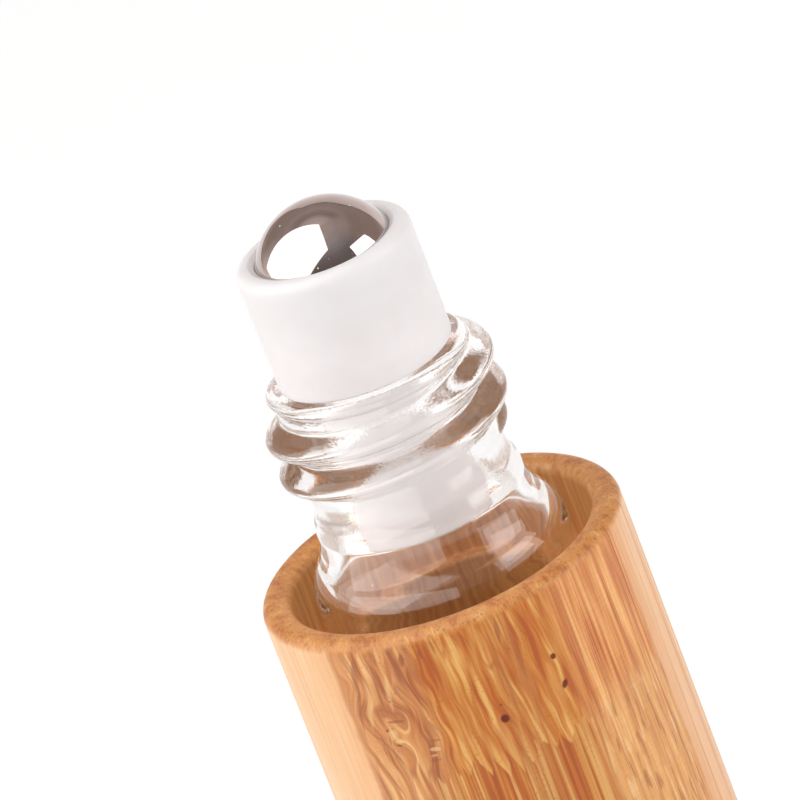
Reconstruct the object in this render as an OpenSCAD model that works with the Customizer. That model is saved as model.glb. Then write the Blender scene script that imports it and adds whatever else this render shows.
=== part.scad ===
// Roll on bottle: a glass vial in a turned bamboo sleeve, with a push-in roller fitment.
// Millimetres, +Z up, origin at the centre of the sleeve's base.

/* [Glass vial] */
// Outside diameter of the vial's body
vial_d = 19.7; // [17:0.1:24]
// Height of the straight body, from the vial's base to the start of its shoulder
vial_body_h = 54; // [35:1:75]
// Wall of the body
vial_wall = 1.5; // [1:0.1:2.2]
// Thickness of the glass at the rim of the base
vial_base_t = 2.5; // [1.5:0.1:4]
// Rounding of the heel
heel_round = 2; // [1:0.1:3]
// Height of the shallow hollow under the base
punt_h = 0.6; // [0.2:0.1:1]
// Radius of the shoulder's outward bend
shoulder_bend_r = 3.6; // [2.5:0.1:6]
// Radius of the flare that leads from the shoulder into the neck
flare_bend_r = 4.6; // [3:0.1:7]
// Angle at which the even inner wall of the shoulder ends, in degrees from upright
even_end_deg = 8; // [4:1:16]
// Rounding of the inner step at its lower, wider end
step_bend_r = 2; // [1:0.1:3]
// Rounding of the inner step where it meets the neck's bore
bore_bend_r = 4; // [2:0.1:5]

/* [Neck finish] */
// Inside diameter of the neck
neck_bore_d = 9.6; // [8.4:0.1:10.4]
// Wall of the neck between its threads
neck_wall = 2.7; // [2:0.1:3]
// Height of the neck, from the top of the flare to the top of the lip
neck_h = 11.75; // [10.75:0.25:16]
// How far the thick foot of the neck stands out from its wall
neck_foot_proud = 0.54; // [0.2:0.02:0.7]
// Height of the lip bead
lip_h = 0.8; // [0.7:0.1:1.2]
// How far the lip bead stands out from the neck's wall
lip_proud = 0.15; // [0.05:0.05:0.4]
// Rounding of the lip's outer edge
lip_round = 0.7; // [0.3:0.05:0.7]
// Rounding of the bore's edges
bore_round = 0.4; // [0.2:0.05:0.6]

/* [Thread] */
// Rise of the thread in one turn
thread_pitch = 3; // [2.5:0.1:3.4]
// Height of the thread's crest above the neck's wall
thread_h = 1.57; // [1:0.01:1.8]
// Width of the thread's ridge at its foot
thread_w = 2.5; // [1.8:0.1:2.8]
// Turns of the thread, with both of its faded ends
thread_turns = 2.15; // [1.5:0.05:2.3]
// Turn over which each end of the thread fades into the neck
thread_fade_turns = 0.17; // [0.1:0.01:0.3]
// Drop from the top of the lip to the middle of the thread's upper end
thread_drop = 1.85; // [1.8:0.05:2.5]
// Direction in which the thread's lower end starts, in degrees
thread_start_deg = 343; // [0:1:360]

/* [Roller fitment] */
// Diameter of the ball
ball_d = 11.2; // [9:0.1:12]
// Running gap between the ball and its socket
ball_gap = 0.05; // [0.02:0.01:0.1]
// How far the socket's throat closes in past the ball's radius
throat_grip = 0.4; // [0.1:0.05:0.5]
// Height of the flared mouth above the throat
throat_mouth_h = 0.2; // [0.1:0.05:1.2]
// How far the flared mouth opens out from the throat
throat_mouth_flare = 0.2; // [0.1:0.02:0.5]
// Wall of the collar around the ball
collar_wall = 1.05; // [0.95:0.05:2]
// Rounding of the collar's top edge
collar_round = 0.8; // [0.3:0.05:0.8]
// Rounding of the collar's lower edge
collar_low_round = 0.25; // [0.1:0.05:0.6]
// Thickness of plastic under the ball
seat_t = 1.7; // [1.2:0.1:3]
// Diameter of the hole that feeds the ball
feed_hole_d = 5; // [3:0.1:6]
// Wall of the plug
plug_wall = 0.95; // [0.7:0.05:1.4]
// Gap between the plug and the neck's bore
plug_gap = 0.15; // [0.1:0.01:0.3]
// Running gap between the plug's sealing beads and the bore
bead_gap = 0.05; // [0.02:0.01:0.08]
// Height of each sealing bead
bead_h = 0.8; // [0.4:0.1:1.2]
// Number of sealing beads
bead_count = 2; // [1:1:3]
// How far the plug reaches past the straight part of the bore
plug_past = 4.4; // [1:0.1:5.5]
// Rounding of the plug's lower edge
plug_round = 0.5; // [0.2:0.05:0.6]
// Gap between the collar and the top of the lip
collar_gap = 0.05; // [0.02:0.01:0.1]

/* [Bamboo sleeve] */
// Wall of the sleeve beside the vial's body
sleeve_wall = 3.85; // [3.2:0.05:6]
// Gap between the vial's body and the sleeve's bore
sleeve_gap = 0.3; // [0.15:0.05:0.5]
// Floor of the sleeve
sleeve_floor_t = 4.5; // [3:0.5:8]
// Gap between the vial's body and the sleeve's wider mouth
mouth_gap = 1.85; // [1:0.05:2]
// Depth of the wider mouth
mouth_depth = 6; // [3:0.5:10]
// Height of the rim above the start of the vial's shoulder
rim_rise = 0.9; // [0:0.1:3]
// Rounding of the rim's outer edge
rim_outer_round = 0.9; // [0.3:0.05:0.9]
// Rounding of the rim's inner edge
rim_inner_round = 0.9; // [0.3:0.05:0.9]
// Rounding of the foot's edge
foot_round = 0.6; // [0.2:0.1:1.2]

/* [Glue] */
// Thickness of the glue pad under the vial
glue_t = 0.6; // [0.3:0.1:1.5]
// How far the glue pad stays back from the sleeve's bore
glue_back = 1.4; // [0.5:0.1:2]

/* [Hidden] */
$fn = 96;
// Straight steps in each rounded stretch of an outline
bend_steps = 8;
// Facets of the threaded band, around the neck and up it
band_sides = 60;
band_rows = 30;

bamboo_colour = [0.78, 0.53, 0.29];
glue_colour = [0.93, 0.9, 0.82];
glass_colour = [0.86, 0.93, 0.93, 0.45];
housing_colour = [0.95, 0.94, 0.93];
steel_colour = [0.6, 0.59, 0.57];

vial_r = vial_d / 2;
vial_inner_r = vial_r - vial_wall;
bore_r = neck_bore_d / 2;
neck_r = bore_r + neck_wall;
neck_foot_r = neck_r + neck_foot_proud;
lip_r = neck_r + lip_proud;

// Heights of the seats, from the table up
vial_z = sleeve_floor_t + glue_t;
shoulder_z = vial_z + vial_body_h;
rim_z = shoulder_z + rim_rise;
mouth_z = rim_z - mouth_depth;

// The shoulder bends out and then flares in, and the two arcs share one tangent
shoulder_turn = acos(1 - (vial_r - neck_foot_r) / (shoulder_bend_r + flare_bend_r));
shoulder_h = (shoulder_bend_r + flare_bend_r) * sin(shoulder_turn);
flare_z = shoulder_z + shoulder_h;
lip_z = flare_z + neck_h;

// The foot of the neck leads in by a like pair of arcs
foot_straight_h = neck_foot_proud / 4;
foot_bend_r = neck_foot_proud * 3.5;
foot_turn = acos(1 - neck_foot_proud / (2 * foot_bend_r));
foot_step_z = flare_z + foot_straight_h;
foot_top_z = foot_step_z + 2 * foot_bend_r * sin(foot_turn);

// Inside, the wall stays even round the shoulder, and a step of two arcs then leads into the neck's bore
inner_shoulder_r = shoulder_bend_r - vial_wall;
inner_flare_r = flare_bend_r + vial_wall;
even_end = [
    neck_foot_r + flare_bend_r - inner_flare_r * cos(even_end_deg),
    flare_z - inner_flare_r * sin(even_end_deg)
];
step_centre = even_end - step_bend_r * [cos(even_end_deg), sin(even_end_deg)];
step_w = even_end[0] - bore_r;
step_turn = acos((step_bend_r * cos(even_end_deg) + bore_bend_r - step_w) / (step_bend_r + bore_bend_r));
bore_low_z = step_centre[1] + (step_bend_r + bore_bend_r) * sin(step_turn);

// Collar, socket and plug
ball_r = ball_d / 2;
socket_r = ball_r + ball_gap;
throat_r = ball_r - throat_grip;
throat_rise = sqrt(socket_r * socket_r - throat_r * throat_r);
collar_r = socket_r + collar_wall;
collar_z = lip_z + collar_gap;
ball_z = collar_z + seat_t + socket_r;
throat_z = ball_z + throat_rise;
collar_top_z = throat_z + throat_mouth_h;
feed_r = feed_hole_d / 2;
plug_r = bore_r - plug_gap;
plug_hollow_r = plug_r - plug_wall;
plug_z = bore_low_z - plug_past;
plug_top_z = collar_z;
bead_r = bore_r - bead_gap;
// The first sealing bead sits this share of the plug's length above its lower end
bead_low_share = 0.42;
bead_step_share = 0.22;

// Thread, on a band of the neck that is let into a groove around the core
thread_top_z = lip_z - thread_drop;
thread_low_z = thread_top_z - thread_turns * thread_pitch;
band_z = foot_top_z;
band_top_z = lip_z - lip_h - lip_proud;
band_inner_r = bore_r + neck_wall / 3;
band_core_r = bore_r + neck_wall * 2 / 3;
// The band's facets lie a hair inside the neck's round wall
band_r = neck_r - lip_proud / 3;

// Sleeve
sleeve_bore_r = vial_r + sleeve_gap;
sleeve_r = sleeve_bore_r + sleeve_wall;
mouth_r = vial_r + mouth_gap;
mouth_step_bevel = sleeve_gap;

// Glue
glue_r = sleeve_bore_r - glue_back;

// Points of an arc about a centre, from one angle to another
function arc(centre, r, from, to) =
    [for (i = [0:bend_steps]) let (a = from + (to - from) * i / bend_steps) centre + r * [cos(a), sin(a)]];

// Radius and centre of the hollow under a disc of radius r and height h
function cap_r(r, h) = (r * r + h * h) / (2 * h);

// Outline of the hollow under the base, from the axis out to its edge
function punt_outline(z) =
    let (r = vial_r - heel_round, big_r = cap_r(r, punt_h))
    arc([0, z + punt_h - big_r], big_r, 90, 90 - asin(r / big_r));

// Outside of the vial, from the edge of the base up to the top of the lip
function vial_outer_outline() = concat(
    arc([vial_r - heel_round, vial_z + heel_round], heel_round, -90, 0),
    arc([vial_r - shoulder_bend_r, shoulder_z], shoulder_bend_r, 0, shoulder_turn),
    arc([neck_foot_r + flare_bend_r, flare_z], flare_bend_r, 180 + shoulder_turn, 180),
    arc([neck_foot_r - foot_bend_r, foot_step_z], foot_bend_r, 0, foot_turn),
    arc([neck_r + foot_bend_r, foot_top_z], foot_bend_r, 180 + foot_turn, 180),
    [
        [band_core_r, band_z],
        [band_core_r, band_top_z],
        [neck_r, band_top_z],
        [lip_r, lip_z - lip_h]
    ],
    arc([lip_r - lip_round, lip_z - lip_round], lip_round, 0, 90)
);

// Inside of the vial, from the lip down to the axis
function vial_inner_outline() = concat(
    arc([bore_r + bore_round, lip_z - bore_round], bore_round, 90, 180),
    arc([bore_r + bore_bend_r, bore_low_z], bore_bend_r, 180, 180 + step_turn),
    arc(step_centre, step_bend_r, step_turn, even_end_deg),
    arc([neck_foot_r + flare_bend_r, flare_z], inner_flare_r, 180 + even_end_deg, 180 + shoulder_turn),
    arc([vial_r - shoulder_bend_r, shoulder_z], inner_shoulder_r, shoulder_turn, 0),
    arc([vial_inner_r - heel_round, vial_z + vial_base_t + heel_round], heel_round, 0, -90),
    [[0, vial_z + vial_base_t]]
);

// How fully the thread stands out, as a share, t turns up its helix: it fades at both ends
function thread_share(t) = sin(90 * max(0, min(1, t / thread_fade_turns, (thread_turns - t) / thread_fade_turns)));

// Outline of a ridge of the given width, as a share of its height
function ridge_share(rise, width) = width > 0 ? max(0, 1 - pow(2 * rise / width, 2)) : 0;

// How far the thread stands out of the neck in direction a, at height z
function thread_rise(a, z) = max([
    for (turn = [0:ceil(thread_turns)])
        let (
            t = turn + (a - thread_start_deg) / 360,
            share = thread_share(t),
            rise = z - thread_low_z - t * thread_pitch
        )
        thread_h * share * ridge_share(rise, thread_w * sqrt(share))
]);

// One ring of the band: plain at its two ends, threaded between them
function band_ring(row) =
    let (z = band_z + (band_top_z - band_z) * row / band_rows)
    [
        for (i = [0:band_sides - 1])
            let (
                a = 360 * i / band_sides,
                r = band_r + (row == 0 || row == band_rows ? 0 : thread_rise(a, z))
            )
            [r * cos(a), r * sin(a), z]
    ];

function plain_ring(r, z) = [for (i = [0:band_sides - 1]) let (a = 360 * i / band_sides) [r * cos(a), r * sin(a), z]];

// The threaded band, closed by its two flat ends and an inner wall
module threaded_band() {
    rings = concat(
        [for (row = [0:band_rows]) band_ring(row)],
        [plain_ring(band_inner_r, band_top_z), plain_ring(band_inner_r, band_z)]
    );
    count = len(rings);
    points = [for (ring = rings) each ring];
    faces = [
        for (row = [0:count - 1], i = [0:band_sides - 1])
            let (
                next_row = (row + 1) % count,
                k = (i + 1) % band_sides,
                a = row * band_sides + i,
                b = row * band_sides + k,
                c = next_row * band_sides + k,
                d = next_row * band_sides + i
            )
            each [[a, c, b], [a, d, c]]
    ];
    polyhedron(points, faces, convexity = 8);
}

module bamboo_sleeve() {
    color(bamboo_colour)
    rotate_extrude()
    polygon(concat(
        [[0, 0]],
        arc([sleeve_r - foot_round, foot_round], foot_round, -90, 0),
        arc([sleeve_r - rim_outer_round, rim_z - rim_outer_round], rim_outer_round, 0, 90),
        arc([mouth_r + rim_inner_round, rim_z - rim_inner_round], rim_inner_round, 90, 180),
        [
            [mouth_r, mouth_z],
            [sleeve_bore_r + mouth_step_bevel, mouth_z],
            [sleeve_bore_r, mouth_z - mouth_step_bevel],
            [sleeve_bore_r, sleeve_floor_t],
            [0, sleeve_floor_t]
        ]
    ));
}

module glue_pad() {
    color(glue_colour)
    translate([0, 0, sleeve_floor_t])
    cylinder(r = glue_r, h = glue_t);
}

module glass_vial() {
    color(glass_colour)
    union() {
        rotate_extrude()
        polygon(concat(punt_outline(vial_z), vial_outer_outline(), vial_inner_outline()));
        threaded_band();
    }
}

// A low rounded ring around the plug that seals against the neck
module sealing_bead(z) {
    translate([0, 0, z])
    rotate_extrude()
    polygon([
        [plug_hollow_r + plug_wall / 2, -bead_h / 2],
        [plug_r, -bead_h / 2],
        [bead_r, -bead_h / 6],
        [bead_r, bead_h / 6],
        [plug_r, bead_h / 2],
        [plug_hollow_r + plug_wall / 2, bead_h / 2]
    ]);
}

module roller_housing() {
    plug_len = plug_top_z - plug_z;
    color(housing_colour)
    union() {
        rotate_extrude()
        polygon(concat(
            [[plug_hollow_r, plug_z]],
            arc([plug_r - plug_round, plug_z + plug_round], plug_round, -90, 0),
            [[plug_r, plug_top_z]],
            arc([collar_r - collar_low_round, collar_z + collar_low_round], collar_low_round, -90, 0),
            arc([collar_r - collar_round, collar_top_z - collar_round], collar_round, 0, 90),
            [[throat_r + throat_mouth_flare, collar_top_z]],
            arc([0, ball_z], socket_r, asin(throat_rise / socket_r), -acos(feed_r / socket_r)),
            [
                [feed_r, collar_z],
                [plug_hollow_r, collar_z - (plug_hollow_r - feed_r)]
            ]
        ));
        for (i = [0:bead_count - 1])
            sealing_bead(plug_z + plug_len * (bead_low_share + i * bead_step_share));
    }
}

module roller_ball() {
    color(steel_colour)
    translate([0, 0, ball_z])
    sphere(r = ball_r);
}

bamboo_sleeve();
glue_pad();
glass_vial();
roller_housing();
roller_ball();
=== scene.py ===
"""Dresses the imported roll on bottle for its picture.

A glass vial stands in a turned bamboo sleeve. A white fitment with a steel ball is pushed into its neck.
The classes hold their sizes in millimetres, and meshes leave them in metres.
"""

import logging
import math
from collections.abc import Callable, Sequence
from dataclasses import dataclass
from enum import Enum

import bpy
from mathutils import Matrix, Vector


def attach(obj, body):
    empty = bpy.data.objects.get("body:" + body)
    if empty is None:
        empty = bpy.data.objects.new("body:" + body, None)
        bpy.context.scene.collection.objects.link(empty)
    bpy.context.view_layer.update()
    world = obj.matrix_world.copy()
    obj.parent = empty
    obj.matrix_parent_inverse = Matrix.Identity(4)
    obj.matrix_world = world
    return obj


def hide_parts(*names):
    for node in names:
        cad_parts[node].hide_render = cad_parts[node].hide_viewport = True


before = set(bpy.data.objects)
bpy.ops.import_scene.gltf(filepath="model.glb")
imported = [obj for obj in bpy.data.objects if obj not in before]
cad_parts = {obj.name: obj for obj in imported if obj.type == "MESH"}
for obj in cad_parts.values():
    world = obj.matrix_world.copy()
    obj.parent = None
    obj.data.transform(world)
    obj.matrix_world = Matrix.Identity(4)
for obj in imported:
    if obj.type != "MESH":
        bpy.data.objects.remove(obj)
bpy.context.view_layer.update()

log = logging.getLogger("roll_on_bottle")

MM = 0.001
WHITE = (1.0, 1.0, 1.0, 1.0)

Point = tuple[float, float]
Outline = list[Point]
Colour = tuple[float, float, float]
Material = bpy.types.Material
Object = bpy.types.Object


class Body(Enum):
    """The bodies of the frame that the pieces ride on."""

    BOTTLE = "bottle"
    FITMENT = "fitment"
    BALL = "ball"


class Slot(Enum):
    """The material slots of the record."""

    BAMBOO = "bamboo"
    GLUE = "glue"
    GLASS = "glass"
    POLYETHYLENE = "polyethylene"
    STEEL = "steel"


def paint(red: int, green: int, blue: int) -> tuple[float, float, float, float]:
    """Turns a paint chip's 0 to 255 values into the linear colour that shaders take.

    Args:
        red: Red of the chip.
        green: Green of the chip.
        blue: Blue of the chip.

    Returns:
        The linear colour with full cover.
    """
    chip = [channel / 255 for channel in (red, green, blue)]
    linear = [c / 12.92 if c <= 0.04045 else ((c + 0.055) / 1.055) ** 2.4 for c in chip]
    return (linear[0], linear[1], linear[2], 1.0)


def sign(operation: str, swapped: bool = False) -> Callable[["Field", "Operand"], "Field"]:
    """Makes the method of a field that stands for a sign of arithmetic.

    Args:
        operation: Name of the arithmetic in a node.
        swapped: Whether the field stands on the right of the sign.

    Returns:
        The method.
    """
    def work(self: "Field", other: "Operand") -> "Field":
        """Adds the node that works it out."""
        return self.plan.math(operation, *((other, self) if swapped else (self, other)))
    return work


class Field:
    """A value in a node tree that plain arithmetic turns into nodes."""

    __add__, __radd__ = sign("ADD"), sign("ADD", swapped=True)
    __sub__, __rsub__ = sign("SUBTRACT"), sign("SUBTRACT", swapped=True)
    __mul__ = sign("MULTIPLY")
    __truediv__ = sign("DIVIDE")
    __pow__ = sign("POWER")

    def __init__(self, plan: "Plan", socket: bpy.types.NodeSocket) -> None:
        """Wraps an output socket of the plan's tree."""
        self.plan = plan
        self.socket = socket

    def __neg__(self) -> "Field":
        """Turns the value's sign round."""
        return self * -1.0


Operand = Field | float | int | Sequence[float]
Inputs = dict[str | int, Operand]


class Plan:
    """A node tree while it is written, for a material, the world or geometry."""

    def __init__(self, tree: bpy.types.NodeTree) -> None:
        """Starts on a node tree."""
        self.tree = tree

    def feed(self, socket: bpy.types.NodeSocket, value: Operand) -> None:
        """Links a field to a socket, or sets the socket to a plain value.

        Args:
            socket: Input socket to feed.
            value: Field, number or row of numbers that goes in.
        """
        if isinstance(value, Field):
            self.tree.links.new(value.socket, socket)
        else:
            socket.default_value = value

    def node(self, kind: str, inputs: Inputs | None = None, **settings: object) -> bpy.types.Node:
        """Adds a node to the tree.

        Args:
            kind: Blender's name for the kind of node.
            inputs: What goes into its sockets, by name or index.
            **settings: Properties of the node, set before its sockets are fed.

        Returns:
            The new node.
        """
        node = self.tree.nodes.new(kind)
        for name, value in settings.items():
            setattr(node, name, value)
        for key, value in (inputs or {}).items():
            self.feed(node.inputs[key], value)
        return node

    def field(self, kind: str, inputs: Inputs | None = None, out: str | int = 0, **settings: object) -> Field:
        """Adds a node and takes one of its outputs.

        Args:
            kind: Blender's name for the kind of node.
            inputs: What goes into its sockets, by name or index.
            out: Name or index of the output.
            **settings: Properties of the node.

        Returns:
            The output as a field.
        """
        return Field(self, self.node(kind, inputs, **settings).outputs[out])

    def math(self, operation: str, *operands: Operand) -> Field:
        """Adds one step of arithmetic on numbers."""
        return self.field("ShaderNodeMath", dict(enumerate(operands)), operation=operation)

    def vector(self, operation: str, *operands: Operand) -> Field:
        """Adds one step of arithmetic on vectors."""
        return self.field("ShaderNodeVectorMath", dict(enumerate(operands)), operation=operation)

    def join(self, x: Operand, y: Operand, z: Operand) -> Field:
        """Joins three numbers into a vector."""
        return self.field("ShaderNodeCombineXYZ", {0: x, 1: y, 2: z})

    def split(self, vector: Field) -> tuple[Field, ...]:
        """Splits a vector into its three numbers."""
        return tuple(Field(self, out) for out in self.node("ShaderNodeSeparateXYZ", {0: vector}).outputs)

    def scaled(self, vector: Field, by: Operand) -> Field:
        """Stretches a vector by one number."""
        return self.field("ShaderNodeVectorMath", {0: vector, "Scale": by}, operation="SCALE")

    def ease(self, value: Operand, start: Operand, end: Operand, low: Operand = 0.0,
             high: Operand = 1.0) -> Field:
        """Turns a value smoothly from one level to another.

        Args:
            value: What the turn follows.
            start: Value at which the level starts to change.
            end: Value at which it has changed.
            low: Level before the start.
            high: Level after the end.

        Returns:
            The eased level.
        """
        inputs = {"Value": value, "From Min": start, "From Max": end, "To Min": low, "To Max": high}
        return self.field("ShaderNodeMapRange", inputs, interpolation_type="SMOOTHSTEP")

    def band(self, value: Field, centre: Operand, reach: Operand) -> Field:
        """Gives 1 at a centre and falls smoothly to 0 at a reach on both sides."""
        return self.ease(self.math("ABSOLUTE", value - centre), 0.0, reach, 1.0, 0.0)

    def noise(self, at: Field | tuple[Operand, ...], detail: float = 2.0, roughness: float = 0.5) -> Field:
        """Adds cloud noise with features about one unit wide.

        Args:
            at: Where to read it, as a vector or its three numbers.
            detail: How many finer layers lie on it.
            roughness: How strong the finer layers are.

        Returns:
            The noise, about 0 to 1.
        """
        place = at if isinstance(at, Field) else self.join(*at)
        inputs = {"Vector": place, "Scale": 1.0, "Detail": detail, "Roughness": roughness}
        return self.field("ShaderNodeTexNoise", inputs)

    def cells(self, at: Field, out: str = "Distance") -> Field:
        """Adds cells about one unit wide, and reads their distance or colour."""
        return self.field("ShaderNodeTexVoronoi", {"Vector": at, "Scale": 1.0}, out=out)

    def ray(self, kind: str) -> Field:
        """Tells whether a ray is of the kind that a light path names, or how deep it is."""
        return self.field("ShaderNodeLightPath", out=kind)

    def ladder(self, value: Field, *steps: tuple[float, Colour]) -> Field:
        """Colours a value by a row of paints, each at its own level.

        Args:
            value: Number from 0 to 1.
            *steps: Level and paint of each rung, lowest first.

        Returns:
            The colour.
        """
        colour = paint(*steps[0][1])
        for (low, _), (high, chip) in zip(steps, steps[1:]):
            colour = self.mix(self.ease(value, low, high), colour, paint(*chip))
        return colour

    def mix(self, share: Operand, first: Operand, second: Operand, how: str = "MIX") -> Field:
        """Mixes two colours, a share of 1 being all the second, or blends them in another named way."""
        sockets = {0: share, 6: first, 7: second}
        return self.field("ShaderNodeMix", sockets, out=2, data_type="RGBA", blend_type=how)

    def layer(self, share: Operand, first: Operand, second: Operand) -> Field:
        """Mixes two shaders, a share of 1 being all the second."""
        return self.field("ShaderNodeMixShader", {0: share, 1: first, 2: second})

    def grey(self, value: Operand) -> Field:
        """Makes a grey of the given level."""
        return self.field("ShaderNodeCombineColor", {0: value, 1: value, 2: value})


class Finish:
    """A procedural material, written on coordinates in the object's own millimetres."""

    def __init__(self, name: str) -> None:
        """Starts an empty material.

        Args:
            name: Name of the material.
        """
        self.material = bpy.data.materials.new(name)
        self.material.use_nodes = True
        self.material.node_tree.nodes.clear()
        self.plan = Plan(self.material.node_tree)
        place = self.plan.field("ShaderNodeTexCoord", out="Object")
        self.at = self.plan.scaled(place, 1 / MM)
        self.x, self.y, self.z = self.plan.split(self.at)

    def near(self, across: float, up: float, shift: Colour = (0.0, 0.0, 0.0)) -> Field:
        """Gives coordinates in which a noise feature has the given size.

        Args:
            across: Size of a feature across the piece in millimetres.
            up: Size of a feature along the piece's axis in millimetres.
            shift: Where in the noise to start.

        Returns:
            The scaled coordinates.
        """
        sized = self.plan.vector("MULTIPLY", self.at, (1 / across, 1 / across, 1 / up))
        return self.plan.vector("ADD", sized, shift)

    def bump(self, height: Field, depth: float) -> Field:
        """Turns a height from 0 to 1 into a bumped normal, a 1 being the given depth in millimetres."""
        return self.plan.field("ShaderNodeBump", {"Height": height, "Distance": depth * MM})

    def specks(self, at: Field, channel: int, core: float, edge: float, rare: float) -> Field:
        """Scatters round specks, at most one in each cell.

        Args:
            at: Coordinates in which a cell is one unit wide.
            channel: Channel of the cells' random colours that decides which of them have a speck.
            core: Distance from its middle up to which a speck is full.
            edge: Distance at which it ends.
            rare: Share of the cells that have none.

        Returns:
            How far a speck covers the point.
        """
        chance = self.plan.split(self.plan.cells(at, out="Color"))[channel]
        spot = self.plan.ease(self.plan.cells(at), core, edge, 1.0, 0.0)
        return spot * self.plan.math("GREATER_THAN", chance, rare)

    def principled(self, inputs: Inputs) -> Field:
        """Adds the shader of a surface with the given inputs."""
        return self.plan.field("ShaderNodeBsdfPrincipled", inputs)

    def close(self, surface: Field) -> Material:
        """Puts a shader on the material's surface and returns the material."""
        self.plan.node("ShaderNodeOutputMaterial", {"Surface": surface})
        return self.material


class Tone(Enum):
    """Colours of single marks in the bamboo."""

    RUST = (178, 92, 38)
    PLUM = (154, 82, 48)
    CREAM = (246, 206, 150)
    PORE = (112, 34, 8)


@dataclass(frozen=True)
class Mark:
    """One streak, knot or pore on the sleeve's turned face.

    Attributes:
        tone: Colour of the mark.
        angle: Degrees round from the front, towards +X.
        drop: Millimetres below the rim.
        length: Half its length up the sleeve.
        width: Half its width round the sleeve.
        lean: Millimetres that it moves towards +X for each millimetre up.
        bow: Millimetres that it curves at one millimetre from its middle.
        pointed: How pointed it is, 1 for a streak and 2 for a round pore.
        share: How much of the ground it covers.
    """

    tone: Tone
    angle: float
    drop: float
    length: float
    width: float
    lean: float = 0.0
    bow: float = 0.0
    pointed: float = 1.0
    share: float = 0.8


@dataclass(frozen=True)
class Spot:
    """Where a point of the bamboo lies, in millimetres, as values in the material's tree.

    Attributes:
        around: Way round the sleeve from the front.
        bent: The same way, bent by the culm's node.
        degrees: Angle round from the front.
        drop: Way down from the rim.
        radius: Distance from the axis.
        aside: Way along the laths' faces.
        depth: Way through the laths.
    """

    around: Field
    bent: Field
    degrees: Field
    drop: Field
    radius: Field
    aside: Field
    depth: Field


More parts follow.
